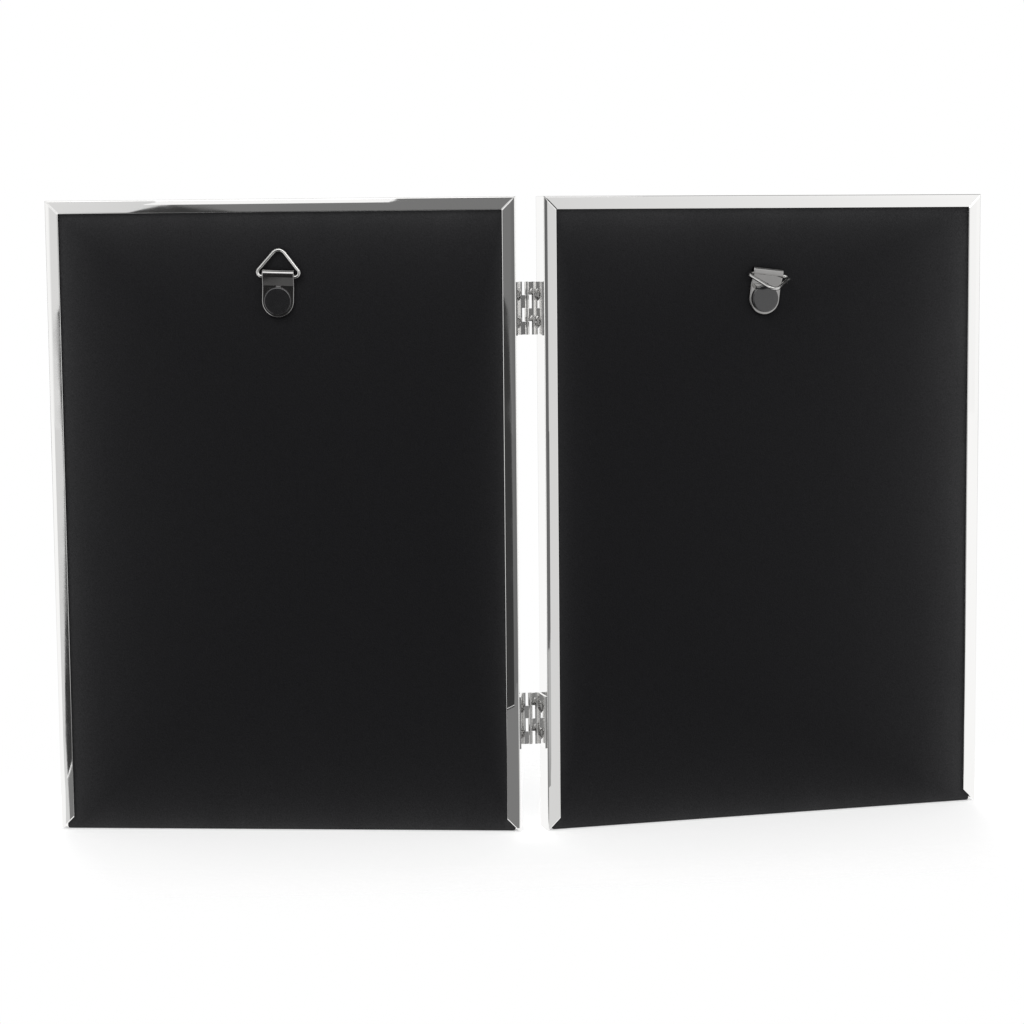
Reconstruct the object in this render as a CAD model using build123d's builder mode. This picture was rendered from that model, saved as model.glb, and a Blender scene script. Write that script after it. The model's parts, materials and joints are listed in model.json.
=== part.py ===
from build123d import *
import os
from math import asin, cos, degrees, radians, sin, tan

# Hinged double photo frame, standing open as a shallow V. The pictures face -Y, the velvet backs face +Y,
# and +Z is up. Left and right are as seen from the picture side, so the left panel is at -X.

# Driving dimensions, in millimetres and degrees.

# What each panel holds, from the front to the back: glass, a 5 x 7 inch print, a filler card, and the board
# with its velvet.
PRINT_W = 127.0
PRINT_H = 177.8
GLASS_T = 2.0
PRINT_T = 0.25
FILLER_T = 1.5
BOARD_T = 2.5
VELVET_T = 0.6
VELVET_ROUND = 0.45
POCKET_GAP = 0.4  # all round the glass, the print and the card
SLIDE_GAP = 0.15  # between the ledge and the board that slides behind it
LIP_GAP = 0.3  # between the velvet and the back lips
BACK_EDGE_GAP = 0.6  # between the covered board's edges and the rails
BACK_LIFT = 0.2  # the covered board's bottom edge above the table

# Section of the rails: a front lip over the glass, a ledge as deep as the glass, print and card, a thin wall
# round the board and a narrow lip behind it, whose outer border slopes away to the arris.
LEDGE_W = 7.1
SIGHT_LIP = 3.2
FRONT_LIP_T = 1.2
SIGHT_BEVEL = 0.6
FRONT_ARRIS = 1.0
WALL_T = 1.0
BACK_LIP_W = 4.0
BACK_LIP_T = 0.9
BACK_SLOPE_W = 1.2
BACK_SLOPE = 7.0
SHOULDER_ROUND = 5.0
BACK_ARRIS = 0.35
LIP_EDGE_ROUND = 0.25
MITRE_GAP = 0.05
MITRE_BEVEL_W = 0.25
MITRE_BEVEL = 30.0

# The two butt hinges between the panels.
OPEN_ANGLE = 161.0  # between the pictures, as the frame stands
HINGE_H = 16.0
HINGE_INSET = 33.5  # middle of a hinge from the top or the bottom of the panels
KNUCKLES = 4
KNUCKLE_GAP = 0.12
PIN_R = 0.3
PIN_CLEARANCE = 0.05
PIN_PROUD = 0.1
PIN_CHAMFER = 0.1
LEAF_T = 0.4
LEAF_CRANK = 1.55  # the leaf's plate stands this far out from the knuckles
LEAF_BEND = 0.6  # inside radius of the bend between the plate and the web that carries the knuckles
LEAF_SET = 0.1  # the web behind the hinge axis, so that the two webs pass each other when the frame is shut
LEAF_MARGIN = 1.0  # from the leaf's back edge to the rounded arris
LEAF_NOTCH_GAP = 0.65  # between a web's notches and the other leaf's knuckles
AXIS_PROUD = 0.5  # the hinge axis in front of the panels' front faces
SCREW_R = 0.9
SCREW_HEAD_R = 1.85
SCREW_CONE = 140.0
SCREW_DOME = 0.9
SCREW_LENGTH = 4.6
SCREW_PITCH = 8.2
SCREW_TO_LEDGE_BACK = 1.65
SCREW_CLEARANCE = 0.05
SLOT_W = 0.45
SLOT_D = 0.45

# The hanger on each back: a folded strap that turns on a rivet, with a wire ring in its loop.
RIVET_HEAD_R = 4.15
RIVET_HEAD_T = 0.9
RIVET_HEAD_ROUND = 0.35
RIVET_R = 1.6
RIVET_CLEARANCE = 0.05
RIVET_TAIL_R = 2.6
RIVET_TAIL_T = 0.5
RIVET_TAIL_SUNK = 0.2
STRAP_SHEET = 0.5
STRAP_RIM = 0.7  # strap that shows round the rivet head
STRAP_GAP = 0.1  # above and below the strap, so that it turns
STRAP_ROUND = 0.3
RAMP_TO_RIVET = 0.25
RAMP_RUN = 3.0
RAMP_ROUND = 1.2
LOOP_SLACK = 0.9
WIRE_R = 0.58
WIRE_CLEARANCE = 0.08
RING_BASE_ANGLE = 50.5
RING_CORNER_R = 1.2
RING_APEX_R = 2.2
RING_PLAY = 0.2  # by which the ring slides sideways in its loop, each way
RING_TO_VELVET = 0.12
LEFT_RIVET_SHIFT = -0.85  # from the middle of the panel, to the right seen from behind
RIGHT_RIVET_SHIFT = -0.65
LEFT_RIVET_DROP = 31.45  # below the top of the panel
RIGHT_RIVET_DROP = 30.6
LEFT_STRAP_TURN = -6.5  # clockwise seen from behind
RIGHT_STRAP_TURN = -2.0
LEFT_RING_SWING = 122.0  # from flat against the back, pointing up

# Sizes that follow from those above.
LEDGE_DEPTH = FRONT_LIP_T + GLASS_T + PRINT_T + FILLER_T
BOARD_FRONT = LEDGE_DEPTH + SLIDE_GAP
VELVET_BACK = BOARD_FRONT + BOARD_T + VELVET_T
FRAME_DEPTH = VELVET_BACK + LIP_GAP + BACK_LIP_T
FRAME_W = PRINT_W + 2 * (POCKET_GAP + LEDGE_W)
FRAME_H = PRINT_H + 2 * (POCKET_GAP + LEDGE_W)
FRONT_FACE_W = LEDGE_W + SIGHT_LIP
BACK_DROP = BACK_SLOPE_W * tan(radians(BACK_SLOPE))
BACK_W = FRAME_W - 2 * (WALL_T + BACK_EDGE_GAP)
BACK_H = FRAME_H - WALL_T - BACK_EDGE_GAP - BACK_LIFT

KNUCKLE_R = PIN_R + PIN_CLEARANCE + LEAF_T
KNUCKLE_H = HINGE_H / KNUCKLES
LEAF_INNER = KNUCKLE_R + LEAF_CRANK  # from the hinge axis to the gap side of a leaf
SIDE_FACE = LEAF_INNER + LEAF_T  # from the hinge axis to a panel's side face
LEAF_REACH = AXIS_PROUD + FRAME_DEPTH - BACK_DROP - BACK_ARRIS - LEAF_MARGIN
SCREW_BACK = LEDGE_DEPTH - SCREW_TO_LEDGE_BACK
SCREW_SINK = (SCREW_HEAD_R - SCREW_R) / tan(radians(SCREW_CONE / 2))

STRAP_W = 2 * (RIVET_HEAD_R + STRAP_RIM)
STRAP_T = 2 * STRAP_SHEET
RAMP_FOOT = RIVET_HEAD_R + RAMP_TO_RIVET
LOOP_AT = RAMP_FOOT + RAMP_RUN  # the ring's wire above the rivet
LOOP_BORE = WIRE_R + WIRE_CLEARANCE
LOOP_R = LOOP_BORE + STRAP_SHEET
LOOP_END = LOOP_AT + LOOP_SLACK
WIRE_HEIGHT = STRAP_GAP + LOOP_R  # the wire's middle above the velvet
RING_HALF_BASE = STRAP_W / 2 + RING_PLAY + RING_CORNER_R / tan(radians(RING_BASE_ANGLE / 2))
RING_APEX = RING_HALF_BASE * tan(radians(RING_BASE_ANGLE))
RING_REACH = RING_APEX - RING_APEX_R * (1 / cos(radians(RING_BASE_ANGLE)) - 1)
RIGHT_RING_SWING = -degrees(asin((WIRE_HEIGHT - WIRE_R - RING_TO_VELVET) / RING_REACH))

# The hinge axis is placed so that the origin is under the middle of the whole frame, from the rearmost
# rounded arris beside the hinges to the frontmost arris of the outer stiles.
HALF_FOLD = radians((180 - OPEN_ANGLE) / 2)
ARRIS_INSET = BACK_ARRIS * (1 - sin(radians(BACK_SLOPE))) / cos(radians(BACK_SLOPE))
REAR_Y = (
    BACK_ARRIS
    - (SIDE_FACE + BACK_ARRIS) * sin(HALF_FOLD)
    + (AXIS_PROUD + FRAME_DEPTH - BACK_DROP - ARRIS_INSET) * cos(HALF_FOLD)
)
FRONT_Y = (
    -FRONT_ARRIS
    - (SIDE_FACE + FRAME_W - FRONT_ARRIS) * sin(HALF_FOLD)
    + (AXIS_PROUD + FRONT_ARRIS) * cos(HALF_FOLD)
)
AXIS_Y = -(REAR_Y + FRONT_Y) / 2


def save(piece, name):
    """Labels a finished piece and writes it under its own name."""
    piece.label = name
    export_step(piece, f"parts/{name}.step")


def panel_plane(side):
    """The front face of a panel, seen from behind: x to the right, y up, z towards the back.

    Its origin is beside the hinge axis at table height. The left panel lies at positive x (side 1) and the
    right panel at negative x (side -1).
    """
    across = (-cos(HALF_FOLD), -side * sin(HALF_FOLD), 0)
    backwards = (-side * sin(HALF_FOLD), cos(HALF_FOLD), 0)
    axis_plane = Plane(origin=(0, AXIS_Y, 0), x_dir=across, z_dir=backwards)
    return axis_plane.offset(AXIS_PROUD)


def screw_seats(panel, side, hinge_middle):
    """Planes on the gap side of a hinge leaf, one for each of its two screws, with z out of the leaf."""
    seats = []
    for height in (hinge_middle - SCREW_PITCH / 2, hinge_middle + SCREW_PITCH / 2):
        centre = panel.from_local_coords(Vector(side * LEAF_INNER, height, SCREW_BACK))
        seats.append(Plane(origin=centre, x_dir=panel.y_dir, z_dir=panel.x_dir * -side))
    return seats


def make_rail(name, panel, corner, direction, length, lipped, seats):
    """A mitred rail from one outer corner of a panel to the next, anticlockwise seen from behind.

    Its section is drawn with x into the panel and y towards the back. Both ends are cut at 45 degrees and
    bevelled at the back, where the mitre shows.
    """
    run = panel.x_dir * direction[0] + panel.y_dir * direction[1]
    inward = panel.z_dir.cross(run)
    start = panel.from_local_coords(Vector(*corner, 0))
    end = start + run * length
    setback = run * (MITRE_GAP / 2)
    bevel_angle = radians(MITRE_BEVEL)
    lip_face = FRAME_DEPTH - BACK_LIP_T
    corners = [
        ((0, 0), FRONT_ARRIS),
        ((FRONT_FACE_W - SIGHT_BEVEL, 0), 0),
        ((FRONT_FACE_W, SIGHT_BEVEL), 0),
        ((FRONT_FACE_W, FRONT_LIP_T), 0),
        ((LEDGE_W, FRONT_LIP_T), 0),
        ((LEDGE_W, LEDGE_DEPTH), 0),
    ]
    if lipped:
        corners += [
            ((WALL_T, LEDGE_DEPTH), 0),
            ((WALL_T, lip_face), 0),
            ((BACK_LIP_W, lip_face), 0),
            ((BACK_LIP_W, FRAME_DEPTH), LIP_EDGE_ROUND),
            ((BACK_SLOPE_W, FRAME_DEPTH), SHOULDER_ROUND),
            ((0, FRAME_DEPTH - BACK_DROP), BACK_ARRIS),
        ]
    else:
        corners.append(((0, LEDGE_DEPTH), 0))
    points = [point for point, radius in corners]
    radii = [radius for point, radius in corners]
    with BuildPart() as rail:
        with BuildSketch(Plane(origin=start, x_dir=inward, z_dir=run)):
            with BuildLine():
                FilletPolyline(*points, radius=radii, close=True)
            make_face()
        extrude(amount=length)
        for tip, along in ((start + setback, run), (end - setback, -run)):
            mitre = Plane(origin=tip, z_dir=along - inward)
            split(bisect_by=mitre, keep=Keep.TOP)
            bevel_edge = tip + panel.z_dir * FRAME_DEPTH + mitre.z_dir * MITRE_BEVEL_W
            bevel_dir = mitre.z_dir * sin(bevel_angle) - panel.z_dir * cos(bevel_angle)
            split(bisect_by=Plane(origin=bevel_edge, z_dir=bevel_dir), keep=Keep.TOP)
        if seats:
            with Locations(*seats):
                Hole(SCREW_R + SCREW_CLEARANCE, depth=SCREW_LENGTH + SCREW_CLEARANCE)
    save(rail.part, name)


def make_rails(name, panel, side, hinge_middles):
    """The four rails of a panel. The bottom rail has no back lip, so the board slides out below it."""
    near = min(side * SIDE_FACE, side * (SIDE_FACE + FRAME_W))
    far = near + FRAME_W
    seats = []
    for middle in hinge_middles:
        seats += screw_seats(panel, side, middle)
    near_stile = ("hinge_stile", seats) if side > 0 else ("outer_stile", [])
    far_stile = ("outer_stile", []) if side > 0 else ("hinge_stile", seats)
    make_rail(f"{name}_bottom_rail", panel, (near, 0), (1, 0), FRAME_W, False, [])
    make_rail(f"{name}_{far_stile[0]}", panel, (far, 0), (0, 1), FRAME_H, True, far_stile[1])
    make_rail(f"{name}_top_rail", panel, (far, FRAME_H), (-1, 0), FRAME_W, True, [])
    make_rail(f"{name}_{near_stile[0]}", panel, (near, FRAME_H), (0, -1), FRAME_H, True, near_stile[1])


def make_picture(name, panel, middle):
    """The glass against the front lip, then the print, then the filler card, all cut to the print's size."""
    depth = FRONT_LIP_T
    for sheet_name, thickness in (
        ("glass_pane", GLASS_T),
        ("photo_print", PRINT_T),
        ("filler_card", FILLER_T),
    ):
        with BuildPart() as sheet:
            with BuildSketch(panel.offset(depth)):
                with Locations((middle, FRAME_H / 2)):
                    Rectangle(PRINT_W, PRINT_H)
            extrude(amount=thickness)
        save(sheet.part, f"{name}_{sheet_name}")
        depth += thickness


def make_back(name, panel, middle, rivet):
    """The board, bored for the rivet, and the velvet that covers its back and is drawn round its edges."""
    front = panel.offset(BOARD_FRONT)
    centre = (middle, BACK_LIFT + BACK_H / 2)
    hole_r = RIVET_R + RIVET_CLEARANCE
    with BuildPart() as board:
        with BuildSketch(front):
            with Locations(centre):
                Rectangle(BACK_W - 2 * VELVET_T, BACK_H - 2 * VELVET_T)
            with Locations(rivet):
                Circle(hole_r, mode=Mode.SUBTRACT)
        extrude(amount=BOARD_T)
        with BuildSketch(front):
            with Locations(rivet):
                Circle(RIVET_TAIL_R + RIVET_CLEARANCE)
        extrude(amount=RIVET_TAIL_T + RIVET_TAIL_SUNK, mode=Mode.SUBTRACT)
    save(board.part, f"{name}_backing_board")

    with BuildPart() as velvet:
        with BuildSketch(front):
            with Locations(centre):
                Rectangle(BACK_W, BACK_H)
        extrude(amount=BOARD_T + VELVET_T)
        back_face = velvet.faces().sort_by(Axis(panel.origin, panel.z_dir))[-1]
        fillet(back_face.edges(), radius=VELVET_ROUND)
        with BuildSketch(front):
            with Locations(centre):
                Rectangle(BACK_W - 2 * VELVET_T, BACK_H - 2 * VELVET_T)
        extrude(amount=BOARD_T, mode=Mode.SUBTRACT)
        with BuildSketch(front):
            with Locations(rivet):
                Circle(hole_r)
        extrude(amount=BOARD_T + VELVET_T, mode=Mode.SUBTRACT)
    save(velvet.part, f"{name}_velvet_cover")


def make_hanger(name, panel, rivet, turn, swing, slip):
    """The rivet through the back, the strap that turns on it and the ring that swings in the strap's loop."""
    hanger = panel.moved(Location((*rivet, VELVET_BACK), (0, 0, turn)))
    head_seat = 2 * STRAP_GAP + STRAP_T
    tail_top = RIVET_TAIL_T + RIVET_TAIL_SUNK - VELVET_T - BOARD_T
    with BuildPart() as pivot:
        with BuildSketch(hanger.offset(head_seat)):
            Circle(RIVET_HEAD_R)
        extrude(amount=RIVET_HEAD_T)
        crown = pivot.faces().sort_by(Axis(hanger.origin, hanger.z_dir))[-1]
        fillet(crown.edges(), radius=RIVET_HEAD_ROUND)
        with BuildSketch(hanger.offset(tail_top)):
            Circle(RIVET_R)
        extrude(amount=head_seat - tail_top)
        with BuildSketch(hanger.offset(tail_top)):
            Circle(RIVET_TAIL_R)
        extrude(amount=-RIVET_TAIL_T)
    save(pivot.part, f"{name}_hanger_rivet")

    # The strap's sheet runs up from its round end, over the loop and down a short ramp on to itself.
    flat = hanger.offset(STRAP_GAP)
    with BuildPart() as strap:
        with BuildSketch(Plane(origin=flat.origin, x_dir=flat.y_dir, z_dir=flat.x_dir)):
            with BuildLine():
                FilletPolyline(
                    (-STRAP_W / 2, 0),
                    (LOOP_END, 0),
                    (LOOP_END, 2 * LOOP_R),
                    (LOOP_AT, 2 * LOOP_R),
                    (RAMP_FOOT, STRAP_T),
                    (-STRAP_W / 2, STRAP_T),
                    radius=[0, 0, 0, RAMP_ROUND, RAMP_ROUND, 0],
                    close=True,
                )
            make_face()
            with Locations((LOOP_END, LOOP_R)):
                Circle(LOOP_R)
            with Locations(((LOOP_AT + LOOP_END) / 2, LOOP_R)):
                SlotCenterToCenter(LOOP_SLACK, 2 * LOOP_BORE, mode=Mode.SUBTRACT)
        extrude(amount=STRAP_W / 2, both=True)
        with BuildSketch(flat):
            Circle(STRAP_W / 2)
            Rectangle(STRAP_W, LOOP_END + LOOP_R, align=(Align.CENTER, Align.MIN))
        extrude(amount=2 * LOOP_R, mode=Mode.INTERSECT)
        with BuildSketch(flat):
            Circle(RIVET_R + RIVET_CLEARANCE)
        extrude(amount=STRAP_T, mode=Mode.SUBTRACT)
        flats = strap.faces().filter_by(Axis(flat.origin, flat.z_dir)).sort_by(SortBy.AREA)
        rim = flats[-2].outer_wire().edges().sort_by(Axis(flat.origin, flat.y_dir))[:-1]
        fillet(rim, radius=STRAP_ROUND)
    save(strap.part, f"{name}_hanger_strap")

    wire_plane = hanger.moved(Location((slip, LOOP_AT, WIRE_HEIGHT), (swing, 0, 0)))
    with BuildPart() as ring:
        with BuildLine(wire_plane) as outline:
            FilletPolyline(
                (-RING_HALF_BASE, 0),
                (RING_HALF_BASE, 0),
                (0, RING_APEX),
                radius=[RING_CORNER_R, RING_CORNER_R, RING_APEX_R],
                close=True,
            )
        path = outline.wire()
        with BuildSketch(Plane(origin=path @ 0, z_dir=path % 0)):
            Circle(WIRE_R)
        sweep(path=path)
    save(ring.part, f"{name}_hanger_ring")


def make_leaf(name, panel, side, hinge_middle, first_row):
    """A hinge leaf: a plate on the panel's side face, bent at the front into a notched web that carries every
    second knuckle from first_row down.

    Its section is drawn from above the hinge downwards, with x along the panel and y towards the back.
    """
    top = panel.moved(Location((0, hinge_middle + HINGE_H / 2, -AXIS_PROUD), (90, 0, 0)))
    inner = side * LEAF_INNER
    outer = side * SIDE_FACE
    notch = side * (KNUCKLE_R + LEAF_NOTCH_GAP)
    web_back = LEAF_SET + LEAF_T
    with BuildPart() as leaf:
        with BuildSketch(top):
            with BuildLine():
                FilletPolyline(
                    (notch, LEAF_SET),
                    (outer, LEAF_SET),
                    (outer, LEAF_REACH),
                    (inner, LEAF_REACH),
                    (inner, web_back),
                    (notch, web_back),
                    radius=[0, LEAF_BEND + LEAF_T, 0, 0, LEAF_BEND, 0],
                    close=True,
                )
            make_face()
        extrude(amount=HINGE_H)
        for row in range(first_row, KNUCKLES, 2):
            with BuildSketch(top.offset(row * KNUCKLE_H + KNUCKLE_GAP / 2)):
                Circle(KNUCKLE_R)
                with BuildLine():
                    Polyline((0, LEAF_SET), (notch, LEAF_SET), (notch, web_back), (0, web_back), close=True)
                make_face()
                Circle(PIN_R + PIN_CLEARANCE, mode=Mode.SUBTRACT)
            extrude(amount=KNUCKLE_H - KNUCKLE_GAP)
        with Locations(*screw_seats(panel, side, hinge_middle)):
            CounterSinkHole(
                SCREW_R + SCREW_CLEARANCE,
                SCREW_HEAD_R + SCREW_CLEARANCE,
                depth=LEAF_T,
                counter_sink_angle=SCREW_CONE,
            )
    save(leaf.part, name)


def make_pin(name, hinge_middle):
    """A plain hinge pin with chamfered ends that stand a little proud of the knuckles."""
    with BuildPart() as pin:
        with BuildSketch(Plane(origin=(0, AXIS_Y, hinge_middle - HINGE_H / 2 - PIN_PROUD))):
            Circle(PIN_R)
        extrude(amount=HINGE_H + 2 * PIN_PROUD)
        chamfer(pin.edges(), length=PIN_CHAMFER)
    save(pin.part, name)


def make_screws(name, panel, side, hinge_middles):
    """The countersunk screws of one panel's leaves, with domed, slotted heads."""
    with BuildPart() as screws:
        for middle in hinge_middles:
            for seat in screw_seats(panel, side, middle):
                with BuildSketch(seat.moved(Location((0, 0, 0), (90, 0, 0)))):
                    with BuildLine():
                        Polyline(
                            (0, SCREW_DOME),
                            (0, -SCREW_LENGTH),
                            (SCREW_R, -SCREW_LENGTH),
                            (SCREW_R, -SCREW_SINK),
                            (SCREW_HEAD_R, 0),
                        )
                        TangentArc((0, SCREW_DOME), (SCREW_HEAD_R, 0), tangent=(1, 0))
                    make_face()
                revolve(axis=Axis(seat.origin, seat.z_dir))
                with BuildSketch(seat.offset(SCREW_DOME)):
                    Rectangle(SLOT_W, 2 * SCREW_HEAD_R)
                extrude(amount=-SLOT_D, mode=Mode.SUBTRACT)
    save(screws.part, name)


os.makedirs("parts", exist_ok=True)
PANELS = {
    "left": (1, LEFT_RIVET_SHIFT, LEFT_RIVET_DROP, LEFT_STRAP_TURN, LEFT_RING_SWING, RING_PLAY),
    "right": (-1, RIGHT_RIVET_SHIFT, RIGHT_RIVET_DROP, RIGHT_STRAP_TURN, RIGHT_RING_SWING, 0),
}
HINGES = {"upper": FRAME_H - HINGE_INSET, "lower": HINGE_INSET}

for panel_name, (side, shift, drop, turn, swing, slip) in PANELS.items():
    panel = panel_plane(side)
    middle = side * (SIDE_FACE + FRAME_W / 2)
    rivet = (middle + shift, FRAME_H - drop)
    make_rails(panel_name, panel, side, HINGES.values())
    make_picture(panel_name, panel, middle)
    make_back(panel_name, panel, middle, rivet)
    make_hanger(panel_name, panel, rivet, turn, swing, slip)
    make_screws(f"{panel_name}_hinge_screws", panel, side, HINGES.values())
    # Counted from the top, the left panel's leaves hold knuckles 1 and 3, and the right panel's 2 and 4.
    first_row = 0 if side > 0 else 1
    for hinge_name, hinge_middle in HINGES.items():
        make_leaf(f"{hinge_name}_hinge_{panel_name}_leaf", panel, side, hinge_middle, first_row)

for hinge_name, hinge_middle in HINGES.items():
    make_pin(f"{hinge_name}_hinge_pin", hinge_middle)
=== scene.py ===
import json
import math

import bpy
import numpy as np
from mathutils import Matrix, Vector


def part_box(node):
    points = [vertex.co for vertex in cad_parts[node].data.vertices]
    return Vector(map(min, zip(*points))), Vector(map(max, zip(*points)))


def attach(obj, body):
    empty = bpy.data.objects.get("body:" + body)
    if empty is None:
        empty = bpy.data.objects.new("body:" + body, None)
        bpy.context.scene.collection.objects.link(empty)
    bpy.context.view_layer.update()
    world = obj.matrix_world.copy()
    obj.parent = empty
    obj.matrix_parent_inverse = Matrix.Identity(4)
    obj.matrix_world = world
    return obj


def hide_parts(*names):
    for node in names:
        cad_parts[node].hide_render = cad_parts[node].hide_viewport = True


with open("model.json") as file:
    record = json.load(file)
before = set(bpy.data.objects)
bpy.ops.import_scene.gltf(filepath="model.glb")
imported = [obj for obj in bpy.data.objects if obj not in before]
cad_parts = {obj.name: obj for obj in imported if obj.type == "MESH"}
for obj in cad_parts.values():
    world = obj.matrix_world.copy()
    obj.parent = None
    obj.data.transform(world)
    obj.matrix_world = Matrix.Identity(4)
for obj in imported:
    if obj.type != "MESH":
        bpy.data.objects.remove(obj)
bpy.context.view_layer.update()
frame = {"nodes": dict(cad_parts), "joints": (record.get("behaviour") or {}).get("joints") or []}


# Rails: each panel's top rail, bottom rail, outer stile and hinge stile, mitred at the corners. They are cut
# from one plated and mirror-polished metal section, whose flats bow by a hair.
def adder(tree):
    """A function that adds a node to a tree and gives back one of its outputs.

    It takes the node's kind, or a node that is already there, a dictionary of inputs (numbers, colours or
    another node's output), which output is wanted, and the node's own settings.
    """
    def add(kind, inputs, output=0, **settings):
        node = kind if isinstance(kind, bpy.types.Node) else tree.nodes.new("ShaderNode" + kind)
        for setting, value in settings.items():
            setattr(node, setting, value)
        for socket, value in inputs.items():
            if isinstance(value, bpy.types.NodeSocket):
                tree.links.new(value, node.inputs[socket])
            else:
                node.inputs[socket].default_value = value
        return node.outputs[output] if node.outputs else None

    return add


def remap(add, value, low, high, start=0.0, end=1.0, **settings):
    """A value carried from the range low to high into the range start to end, and held at its ends."""
    limits = {"Value": value, "From Min": low, "From Max": high, "To Min": start, "To Max": end}
    return add("MapRange", limits, **settings)


def finish(name, **values):
    """A material, its Principled shader with the given socket values, and a function that adds nodes to it."""
    material = bpy.data.materials.new(name)
    material.use_nodes = True
    shader = material.node_tree.nodes["Principled BSDF"]
    for socket, value in values.items():
        shader.inputs[socket.replace("_", " ")].default_value = value
    return material, shader, adder(material.node_tree)


def dress(material, *nodes):
    """Gives CAD nodes a finish."""
    for node in nodes:
        frame["nodes"][node].material_slots[0].material = material


rail_polish, shader, add = finish("rail_polish", Base_Color=(0.93, 0.925, 0.915, 1), Metallic=1)
place = add("TexCoord", {}, "Object")
bow = add("TexNoise", {"Vector": place, "Scale": 14, "Detail": 1})
bowed = add("Bump", {"Height": bow, "Distance": 2.2e-5})
patches = add("TexNoise", {"Vector": place, "Scale": 60, "Detail": 4})
dull = remap(add, patches, 0.45, 0.75, 0.012, 0.035)
add(shader, {"Roughness": dull, "Normal": bowed})
for panel in ("left", "right"):
    for rail in ("top_rail", "bottom_rail", "outer_stile", "hinge_stile"):
        dress(rail_polish, f"{panel}_{rail}")


# Glass panes: clear 2 mm float glass against the front lips, cut to the print's size. A lamp's light passes
# straight through to the print, and a few wipe marks show only in its gloss.
glass, shader, add = finish("clear_glass", Base_Color=(0.975, 0.99, 0.985, 1), IOR=1.5, Transmission_Weight=1)
wiped = add("Mapping", {"Vector": add("TexCoord", {}, "Object"), "Scale": (30, 30, 220)})
marks = add("TexNoise", {"Vector": wiped, "Scale": 1, "Detail": 3})
haze = remap(add, marks, 0.45, 0.75, 0.0, 0.025)
pane = add(shader, {"Roughness": haze})
lets_through = add("BsdfTransparent", {"Color": (0.95, 0.97, 0.96, 1)})
lamp_ray = add("LightPath", {}, "Is Shadow Ray")
either = add("MixShader", {0: lamp_ray, 1: pane, 2: lets_through})
add(glass.node_tree.nodes["Material Output"], {"Surface": either})
dress(glass, "left_glass_pane", "right_glass_pane")


# Photo prints: 5 x 7 inch black and white prints on satin paper behind the glass. Their picture is plain:
# misty hills under a pale sky, five ridges one before the other, each darker and lower than the one behind it.
prints, shader, add = finish("satin_print", Roughness=0.38, Specular_IOR_Level=0.4)
place = add("TexCoord", {}, "Object")
across = add("SeparateXYZ", {0: place}, "X")
height = add("SeparateXYZ", {0: place}, "Z")
sky_low, sky_high = 0.08, 0.19
crest_blur, mist_depth, mist_tone = 0.0003, 0.05, 0.2
tone = remap(add, height, sky_low, sky_high, 0.86, 0.52)
for ridge in range(5):
    spread = add("Math", {0: across, 1: 14 + 5 * ridge, 2: 3.7 * ridge + 1.3}, operation="MULTIPLY_ADD")
    crest = add("TexNoise", {"W": spread, "Scale": 1, "Detail": 5}, noise_dimensions="1D")
    top = remap(add, crest, 0.2, 0.8, 0.094 - 0.018 * ridge, 0.136 - 0.016 * ridge)
    below = add("Math", {0: top, 1: height}, operation="SUBTRACT")
    covered = remap(add, below, -crest_blur, crest_blur, interpolation_type="SMOOTHSTEP")
    darkest = 0.46 * 0.62 ** ridge
    misty = remap(add, below, 0.0, mist_depth, darkest, darkest + mist_tone)
    tone = add("Mix", {0: covered, 2: tone, 3: misty})
grain = add("TexNoise", {"Vector": place, "Scale": 3500, "Detail": 1})
fleck = remap(add, grain, 0.3, 0.7, 0.93, 1.07)
printed = add("Math", {0: tone, 1: fleck}, operation="MULTIPLY")
add(shader, {"Base Color": printed})
dress(prints, "left_photo_print", "right_photo_print")


# Filler cards: plain grey pulp card 1.5 mm thick, flecked with darker fibres. They are cut to the print's size
# and press it against the glass.
filler, shader, add = finish("pulp_card", Roughness=0.9, Specular_IOR_Level=0.2)
place = add("TexCoord", {}, "Object")
fibres = add("TexNoise", {"Vector": place, "Scale": 900, "Detail": 4})
fleck = remap(add, fibres, 0.3, 0.62)
pulp = add("MixRGB", {0: fleck, 1: (0.26, 0.23, 0.19, 1), 2: (0.43, 0.39, 0.33, 1)})
tooth = add("Bump", {"Height": fibres, "Distance": 6e-5})
add(shader, {"Base Color": pulp, "Normal": tooth})
dress(filler, "left_filler_card", "right_filler_card")


# Backing boards: 2.5 mm pressed hardboard, brown and mottled, bored for the hanger's rivet.
# Each slides down out of its panel with its velvet and its hanger.
board, shader, add = finish("hardboard", Roughness=0.75, Specular_IOR_Level=0.3)
place = add("TexCoord", {}, "Object")
fibres = add("TexNoise", {"Vector": place, "Scale": 260, "Detail": 6, "Roughness": 0.65})
mottle = remap(add, fibres, 0.3, 0.7)
pressed = add("MixRGB", {0: mottle, 1: (0.075, 0.04, 0.02, 1), 2: (0.21, 0.125, 0.068, 1)})
rough = add("Bump", {"Height": fibres, "Distance": 1e-4})
add(shader, {"Base Color": pressed, "Normal": rough})
dress(board, "left_backing_board", "right_backing_board")


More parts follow.
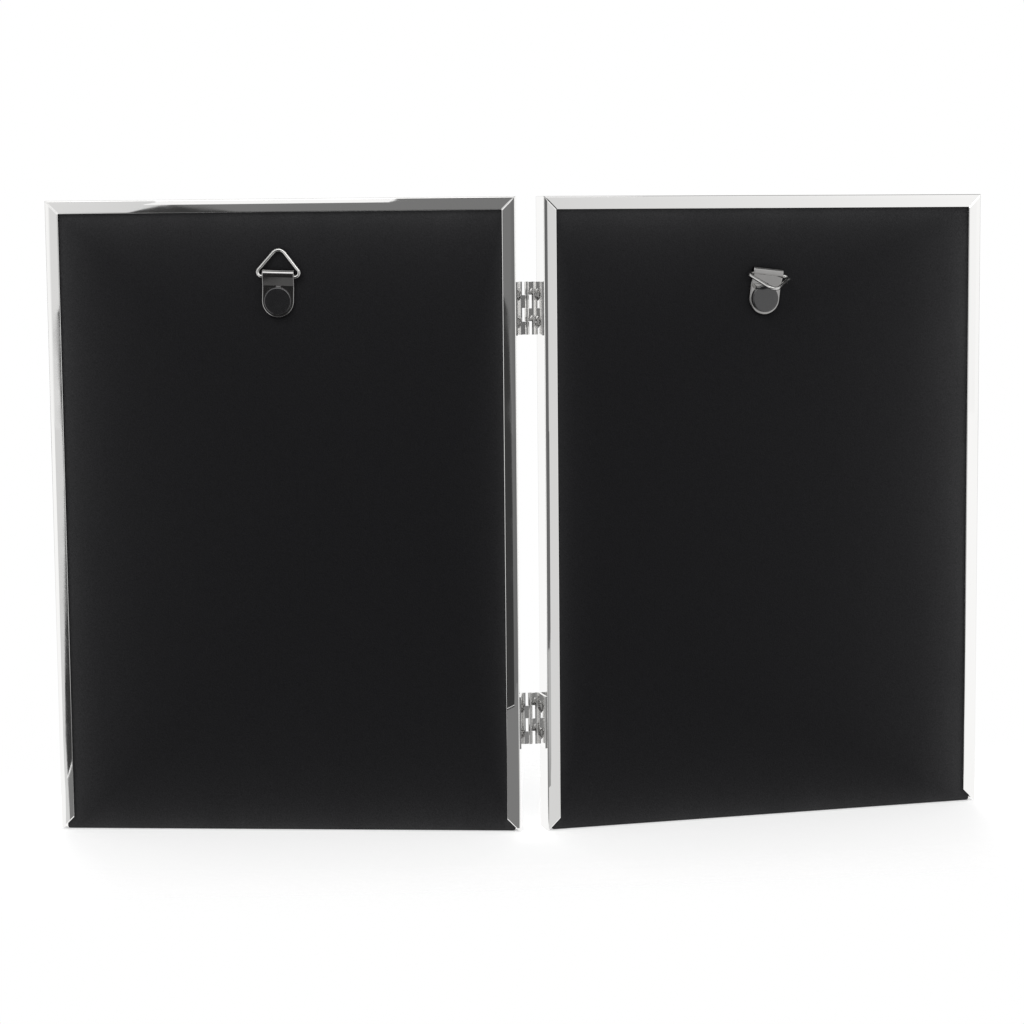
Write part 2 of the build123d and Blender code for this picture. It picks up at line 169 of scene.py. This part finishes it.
# Velvet covers: black short-pile velvet drawn over each board's back and glued round its edges, punched for
# the rivet. Its colour is painted lighter towards the edges as a painted sheen, most at the left panel's outer
# edge and least beside the hinges.
velvet, shader, add = finish(
    "black_velvet", Roughness=1.0, Specular_IOR_Level=0.05, Sheen_Weight=0.03, Sheen_Roughness=0.4
)
# How far in from the lips the velvet's painted sheen fades out.
sheen_band = 0.008
place = add("TexCoord", {}, "Object")
edge = add("Attribute", {}, "Fac", attribute_name="from_edge")
brushed = add("Mapping", {"Vector": place, "Scale": (60, 60, 18)})
strokes = add("TexNoise", {"Vector": brushed, "Scale": 1, "Detail": 4})
uneven = remap(add, strokes, 0.3, 0.7, -0.001, 0.001)
sheen_distance = add("Math", {0: edge, 1: uneven}, operation="ADD")
inwards = add("Math", {0: sheen_distance, 1: 1 / sheen_band, 2: 1.0}, operation="MULTIPLY_ADD")
inside = add("Math", {0: inwards, 1: 1.0}, operation="MAXIMUM")
painted_sheen = add("Math", {0: inside, 1: -1.6}, operation="POWER")
pile = add("TexNoise", {"Vector": place, "Scale": 2600, "Detail": 3})
tuft = remap(add, pile, 0.3, 0.7, 0.8, 1.2)
# Painted sheen: the velvet's black is mixed lighter the nearer it lies to the lips.
depth = add("MixRGB", {0: painted_sheen, 1: (0.0104, 0.0104, 0.0114, 1), 2: (0.042, 0.042, 0.0435, 1)})
black = add("MixRGB", {0: 1.0, 1: depth, 2: tuft}, blend_type="MULTIPLY")
nap = add("Bump", {"Height": pile, "Distance": 1.2e-4, "Strength": 0.6})
add(shader, {"Base Color": black, "Normal": nap})


def velvet_cover(panel, outer_sheen_widening):
    """A closed skin 0.6 mm thick, as a profile carried round the board's outline.

    The outline is a rectangle with small round corners: a point on the inner core plus the corner radius times
    the outward normal. The profile runs straight from the rivet hole to the edge, rolls round it on a quarter
    circle, goes down the side, over the cut edge and back along the board to the hole. Each point keeps its
    distance from the nearest lip, which sets the painted sheen: shortened at the outer edge by
    outer_sheen_widening, so the painted sheen reaches further in there, and lengthened beside the hinges.
    """
    width, thick, wrap = 0.1388, 0.0006, 0.0031
    roll, corner, hole = 0.00045, 0.0007, 0.00165
    under_lip, hinge_sheen_narrowing = 0.0021, 4
    rivet = next(j for j in frame["joints"] if j["name"] == f"{panel}_strap_turn")
    normal, centre = np.array(rivet["axis"]), np.array(rivet["pos_m"])
    up = np.array([0.0, 0.0, 1.0])
    right = np.cross(up, normal)
    box = np.array(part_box(f"{panel}_velvet_cover"))
    low, high = box[:, 2] - centre[2]
    middle = (box.mean(0) - centre) @ right
    outer_side = np.sign(box.mean(0) @ right)

    near, far = middle - width / 2 + corner, middle + width / 2 - corner
    bottom, top = low + corner, high - corner
    along = np.linspace(0, 1, 60)
    turn = np.linspace(0, math.pi / 2, 7)[1:-1]
    core, out = [], []
    sides = [
        ((near, bottom), (far, bottom), -math.pi / 2),
        ((far, bottom), (far, top), 0.0),
        ((far, top), (near, top), math.pi / 2),
        ((near, top), (near, bottom), math.pi),
    ]
    for start, end, facing in sides:
        core.append(np.outer(1 - along, start) + np.outer(along, end))
        core.append(np.tile(end, (len(turn), 1)))
        out.append(np.concatenate([np.full(len(along), facing), facing + turn]))
    core, out = np.concatenate(core), np.concatenate(out)
    out = np.stack([np.cos(out), np.sin(out)], 1)

    rim = core + (corner - roll) * out
    ray = rim / np.linalg.norm(rim, axis=1)[:, None]
    share = 1 - (1 - np.linspace(0, 1, 40)) ** 2
    face = hole * ray + share[:, None, None] * (rim - hole * ray)
    quarter = np.linspace(0, math.pi / 2, 7)[1:]
    rolled_in, rolled_down = roll - roll * np.sin(quarter), roll - roll * np.cos(quarter)
    side_down, side_up = np.linspace(roll, wrap, 4)[1:], np.linspace(wrap, thick, 4)[1:]
    inset = np.concatenate([rolled_in, np.zeros(3), [thick / 2, thick], np.full(3, thick)])
    drop = np.concatenate([rolled_down, side_down, [wrap, wrap], side_up])
    skirt = core + (corner - inset)[:, None, None] * out
    lining = skirt[-1] + np.linspace(0, 1, 6)[1:, None, None] * (hole * ray - skirt[-1])
    flat = np.concatenate([face, skirt, lining])
    depth = np.concatenate([np.zeros(len(face)), drop, np.full(len(lining), thick)])
    rows, columns = flat.shape[:2]
    points = (
        centre
        + flat[..., :1] * right
        + flat[..., 1:] * up
        - np.broadcast_to(depth[:, None, None], (rows, columns, 1)) * normal
    )
    number = np.arange(rows * columns).reshape(rows, columns)
    after, beside = np.roll(number, -1, 0), np.roll(number, -1, 1)
    quads = np.stack([number, after, np.roll(after, -1, 1), beside], -1).reshape(-1, 4)

    mesh = bpy.data.meshes.new(f"{panel}_velvet")
    mesh.from_pydata(points.reshape(-1, 3), [], quads)
    mesh.shade_smooth()
    outwards = (flat[..., 0] - middle) * outer_side
    half = width / 2 - under_lip
    # The painted sheen's distance from the lips, shortened at the outer edge and lengthened beside the hinges.
    to_sides = np.minimum((half - outwards) / outer_sheen_widening, hinge_sheen_narrowing * (half + outwards))
    to_ends = np.minimum(flat[..., 1] - low, high - under_lip - flat[..., 1])
    to_edge = np.minimum(to_sides, to_ends)
    mesh.attributes.new("from_edge", "FLOAT", "POINT").data.foreach_set("value", to_edge.ravel())
    mesh.materials.append(velvet)
    cover = bpy.data.objects.new(f"{panel}_velvet", mesh)
    bpy.context.scene.collection.objects.link(cover)
    return cover


# Per panel, how much further in the painted sheen reaches at the outer edge.
for panel, outer_sheen_widening in (("left", 2), ("right", 1)):
    cover = velvet_cover(panel, outer_sheen_widening)
    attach(cover, f"{panel}_back")
    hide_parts(f"{panel}_velvet_cover")


# Hangers: a rivet with a flat black-lacquered head, a dark strap folded from thin plated steel that turns on
# it, and a bright triangle of nickel-plated wire that swings in the strap's loop.
def plated(name, colour, roughness, bite, cloudy=0.13):
    """Plated steel, whose colour wanders slowly by the share cloudy and its roughness by 30 percent.

    A fine orange-peel noise as deep as bite breaks the gloss.
    """
    material, shader, add = finish(name, Metallic=1)
    place = add("TexCoord", {}, "Object")
    cloud = add("TexNoise", {"Vector": place, "Scale": 350, "Detail": 3})
    dark = (*((1 - cloudy) * tint for tint in colour), 1)
    light = (*((1 + cloudy) * tint for tint in colour), 1)
    shade = add("MixRGB", {0: cloud, 1: dark, 2: light})
    dull = remap(add, cloud, 0.3, 0.7, 0.7 * roughness, 1.3 * roughness)
    peel = add("TexNoise", {"Vector": place, "Scale": 2200, "Detail": 2})
    skin = add("Bump", {"Height": peel, "Distance": bite})
    add(shader, {"Base Color": shade, "Roughness": dull, "Normal": skin})
    return material


rivet_lacquer, shader, add = finish("rivet_lacquer", Base_Color=(0.014, 0.014, 0.015, 1), IOR=1.8)
rubbed = add("TexNoise", {"Vector": add("TexCoord", {}, "Object"), "Scale": 700, "Detail": 4})
add(shader, {"Roughness": remap(add, rubbed, 0.3, 0.7, 0.06, 0.12)})
strap_grey = plated("strap_grey", (0.36, 0.355, 0.35), roughness=0.07, bite=3e-7, cloudy=0.06)
ring_nickel = plated("ring_nickel", (0.54, 0.535, 0.525), roughness=0.2, bite=4e-7)
for panel in ("left", "right"):
    dress(rivet_lacquer, f"{panel}_hanger_rivet")
    dress(strap_grey, f"{panel}_hanger_strap")
    dress(ring_nickel, f"{panel}_hanger_ring")


# Hinges: two small butt hinges of bright plated steel. Each leaf is cranked and rolled into two knuckles round
# a plain pin, and held to its stile by two countersunk screws with raised heads, their plating painted darker
# than the leaves as painted shade.
hinge_plate = plated("hinge_plate", (0.97, 0.965, 0.955), roughness=0.1, bite=3e-7, cloudy=0.02)
# The screws' plating is painted darker than the leaves: painted shade standing in for the dark look of their
# heads.
screw_nickel = plated("screw_nickel", (0.24, 0.238, 0.235), roughness=0.06, bite=3e-7)
for hinge in ("upper", "lower"):
    dress(hinge_plate, f"{hinge}_hinge_left_leaf", f"{hinge}_hinge_right_leaf", f"{hinge}_hinge_pin")
dress(screw_nickel, "left_hinge_screws", "right_hinge_screws")


# Cards: grey and white cards behind the camera, overhead, before the pictures, at the sides and on the table.
# Only the polished metal sees them, as it does in a real studio. The ones at the camera's end of the studio
# follow the outlines that the rails mirror in the photograph.
def card(name, corners, first, last=None, near=0.0, far=1.0):
    """A flat card with its corners in order, in one grey or running evenly to last.

    The grey is first at x = near and last at x = far.
    """
    mesh = bpy.data.meshes.new(name)
    mesh.from_pydata(corners, [], [range(len(corners))])
    paper = bpy.data.materials.new(name)
    paper.use_nodes = True
    add = adder(paper.node_tree)
    grey = (first, first, first, 1)
    if last is not None:
        across = add("SeparateXYZ", {0: add("TexCoord", {}, "Object")}, "X")
        grey = remap(add, across, near, far, first, last)
    glow = add("Emission", {"Color": grey})
    add(paper.node_tree.nodes["Material Output"], {"Surface": glow})
    mesh.materials.append(paper)
    panel = bpy.data.objects.new(name, mesh)
    panel.visible_camera = False
    panel.visible_diffuse = False
    panel.visible_transmission = False
    panel.visible_shadow = False
    bpy.context.scene.collection.objects.link(panel)


def upright(y, outline):
    """Corners across the studio at distance y, from pairs (x, z)."""
    return [(x, y, z) for x, z in outline]


def lying(outline, below=0.001):
    """Corners on the table, a hair below its top, from pairs (x, y)."""
    return [(x, y, -below) for x, y in outline]


def overhead(back, front, half=1.5, z=1.9):
    """Corners of a ceiling card from y = back to y = front."""
    return [(-half, back, z), (half, back, z), (half, front, z), (-half, front, z)]


black_paper = 0.04
dark_edge = [(0.3812, -0.01), (0.3816, 0.03), (0.3826, 0.0824), (0.3841, 0.1145), (0.387, 0.1262), (0.4, 0.15)]
dark_top = [(0.55, 0.2), (0.637, 0.2083), (0.679, 0.2123), (0.7168, 0.2165), (0.725, 0.2165), (0.7464, 0.2127)]
dark_left = [(0.7723, 0.2071), (0.81, 0.165), (0.8342, 0.1126), (0.8341, 0.07), (0.833, -0.01)]
card("dark_card", upright(1.60, dark_edge + dark_top + dark_left), black_paper)
grey_foot = [(-0.45, 0.72), (-0.45, -0.01), (0.42, -0.01), (0.42, 0.12), (0.56, 0.19), (0.66, 0.203)]
grey_head = [(0.722, 0.21), (0.722, 0.26), (0.5, 0.3), (0.5, 0.72)]
card("grey_card", upright(1.61, grey_foot + grey_head), 0.13, 0.19, -0.4, 0.4)
light_left = [(0.7, 0.26), (0.7, -0.01), (1.4, -0.01), (1.4, 0.75), (0.752, 0.75), (0.752, 0.26)]
card("left_light_card", upright(1.62, light_left), 0.68, 0.97, 0.74, 1.3)
light_right = [(-1.4, -0.01), (-0.4, -0.01), (-0.4, 0.73), (-1.4, 0.73)]
card("right_light_card", upright(1.62, light_right), 0.98, 0.69, -1.3, -0.75)
card("softbox", upright(1.58, [(-0.9, 0.76), (1.1, 0.76), (1.1, 1.7), (-0.9, 1.7)]), 3.0)
card("ceiling", overhead(0.5, 1.55), 0.15)
card("back_ceiling", overhead(-0.6, 0.5), 0.25, 0.95, -0.45, 0.35)

front_left = [(-1.0, -0.01), (-0.55, -0.01), (-0.55, 1.0), (-1.0, 1.0)]
card("front_left_card", upright(-1.6, front_left), 0.2, 0.7, -1.0, -0.55)
front_right = [(-0.2, -0.01), (0.55, -0.01), (0.55, 1.0), (-0.2, 1.0)]
card("front_right_card", upright(-1.6, front_right), 0.85, 0.2, -0.2, 0.55)
for name, x in (("left_side_card", -1.7), ("right_side_card", 1.7)):
    card(name, [(x, -1.0, -0.01), (x, -0.1, -0.01), (x, -0.1, 1.0), (x, -1.0, 1.0)], 0.22)
far_left = [(-0.04, -0.08), (-0.72, -1.6), (-1.7, -1.6), (-1.7, -0.15), (-0.2, -0.04)]
card("front_table_far_left", lying(far_left), 0.25, 0.95, -1.6, -0.1)
near_left = [(-0.02, -0.08), (-0.43, -1.6), (-0.72, -1.6), (-0.04, -0.08)]
card("front_table_left", lying(near_left), 0.3, 0.9, -0.6, -0.03)
near_middle = [(-0.01, -0.08), (-0.3, -1.6), (0.61, -1.6), (0.03, -0.08)]
card("front_table_middle", lying(near_middle), 0.95, 0.25, -0.1, 0.5)
far_right = [(0.05, -0.08), (0.93, -1.6), (1.7, -1.6), (1.7, -0.15), (0.2, -0.04)]
card("front_table_far_right", lying(far_right), 0.95, 0.25, 0.1, 1.6)

paper_tip = (-0.12, 0.41)
paper_left = [(-0.025, 0.1), (0.004, 0.026)]
paper_base = (0.1452, 0.0015)
paper_edge = [(0.1745, 0.0683), (0.1838, 0.0943), (0.19, 0.1125)]
paper_edge += [(0.058, 0.212), (0.0565, 0.221), (0.0551, 0.2322)]
card("table_paper", lying([paper_tip, *paper_left, paper_base, *paper_edge]), 0.45, 0.2, -0.04, 0)
fold_line = [(0.054, 0.2412), (0.058, 0.2095), (0.058, 0.2128), (0.054, 0.2445)]
corner_line = [(0.174, 0.0663), (0.1855, 0.0985), (0.1855, 0.0997), (0.174, 0.0675)]
for name, line in (("paper_fold", fold_line), ("paper_corner", corner_line)):
    card(name, lying(line, below=0.0005), 0.9)
dark_near = [(0.2453, 1.0283), (0.149, 0.6243), (0.106, 0.4436), (0.0595, 0.2471)]
dark_far = [(0.2062, 0.1405), (0.2498, 0.2419), (0.4434, 0.6948), (0.6493, 1.1744), (0.833, 1.6)]
dark_end, grey_end = (0.3812, 1.6), (-0.52, 1.6)
card("table_dark", lying([*paper_edge[::-1], *dark_far, dark_end, *dark_near]), black_paper)
grey_outline = [paper_tip, paper_edge[-1], *dark_near[::-1], dark_end, grey_end]
card("table_grey", lying(grey_outline), 0.13, 0.16, -0.3, 0.1)
left_side = [(1.1, 1.6), (0.60, 0.78), (0.325, 0.30), (0.225, 0.13), (0.17, 0.05), (0.1485, 0.003)]
card("table_left", lying([paper_edge[0], *dark_far, *left_side, paper_base]), 0.68)
right_side = [(-1.0, 1.6), (-0.48, 0.58), (-0.2, 0.18), (-0.09, 0.0)]
card("table_right", lying([paper_tip, grey_end, *right_side, *paper_left[::-1]]), 0.7)


# Background and floor: white all round for the camera, the gloss and the glass, and dimmer as a light. The
# matt floor keeps the object's shadow, and fades out to the white a few centimetres away from the object.
world = bpy.data.worlds.new("studio")
bpy.context.scene.world = world
world.use_nodes = True
add = adder(world.node_tree)
plain = add(world.node_tree.nodes["Background"], {"Color": (1, 1, 1, 1), "Strength": 0.5})
white = add("Background", {"Color": (1, 1, 1, 1)})
path = world.node_tree.nodes.new("ShaderNodeLightPath")
shown = path.outputs["Is Camera Ray"]
for kind in ("Is Glossy Ray", "Is Transmission Ray"):
    shown = add("Math", {0: shown, 1: path.outputs[kind]}, operation="MAXIMUM")
mixed = add("MixShader", {0: shown, 1: plain, 2: white})
add(world.node_tree.nodes["World Output"], {"Surface": mixed})

fade_from, fade_to, squeeze_x = 0.04, 0.11, 0.25
lift_strength = 0.4
sweep = bpy.data.materials.new("white_sweep")
sweep.use_nodes = True
add = adder(sweep.node_tree)
camera_ray = add("LightPath", {}, "Is Camera Ray")
lamp_ray = add("LightPath", {}, "Is Shadow Ray")
matt = add("BsdfDiffuse", {"Color": (0.8, 0.8, 0.8, 1)})
strength = add("Math", {0: camera_ray, 1: lift_strength}, operation="MULTIPLY")
lifted = add("AddShader", {0: matt, 1: add("Emission", {"Strength": strength})})
wide = add("Mapping", {"Vector": add("TexCoord", {}, "Object"), "Scale": (squeeze_x, 1, 0)})
away = add("VectorMath", {0: wide}, "Value", operation="LENGTH")
fading = remap(add, away, fade_from, fade_to, interpolation_type="SMOOTHSTEP")
faded = add("Math", {0: camera_ray, 1: fading}, operation="MULTIPLY")
gone = add("Math", {0: faded, 1: lamp_ray}, operation="MAXIMUM")
seen = add("MixShader", {0: gone, 1: lifted, 2: add("BsdfTransparent", {})})
add(sweep.node_tree.nodes["Material Output"], {"Surface": seen})
floor_mesh = bpy.data.meshes.new("floor")
floor_mesh.from_pydata([(-6, -6, 0), (6, -6, 0), (6, 6, 0), (-6, 6, 0)], [], [(0, 1, 2, 3)])
floor_mesh.materials.append(sweep)
floor = bpy.data.objects.new("floor", floor_mesh)
floor.visible_glossy = False
bpy.context.scene.collection.objects.link(floor)


# Lamps and camera: three soft square lamps aimed at the middle of the frame, which the gloss doesn't see. The
# camera stands behind the frame, fitted to the panels' eight outer corners in the photograph.
lamps = [
    ("key_lamp", (0.9, 1.0, 1.3), 1.0, 11.0),
    ("fill_lamp", (-1.2, 0.9, 0.9), 1.0, 6.0),
    ("front_lamp", (0.0, -1.4, 1.2), 1.2, 16.0),
]
aim = (0, 0, 0.1)
for name, spot, size, watts in lamps:
    lamp = bpy.data.lights.new(name, "AREA")
    lamp.size = size
    lamp.energy = watts
    holder = bpy.data.objects.new(name, lamp)
    back = np.array(spot) - aim
    back /= np.linalg.norm(back)
    side = np.cross((0, 0, 1), back)
    side /= np.linalg.norm(side)
    axes = np.stack([side, np.cross(back, side), back, spot], 1)
    holder.matrix_world = Matrix([*axes.tolist(), (0, 0, 0, 1)])
    holder.visible_camera = False
    holder.visible_glossy = False
    bpy.context.scene.collection.objects.link(holder)

lens = bpy.data.cameras.new("camera")
lens.lens = 89.915
lens.sensor_width = 36
lens.clip_start = 0.01
lens.clip_end = 50
camera = bpy.data.objects.new("camera", lens)
camera.matrix_world = Matrix((
    (-0.99498, -0.019488, 0.09816, 0.08162),
    (0.099665, -0.104202, 0.98955, 0.778552),
    (-0.009056, 0.994365, 0.105621, 0.179733),
    (0, 0, 0, 1),
))
bpy.context.scene.collection.objects.link(camera)
bpy.context.scene.camera = camera
bpy.context.scene.view_settings.view_transform = "Standard"
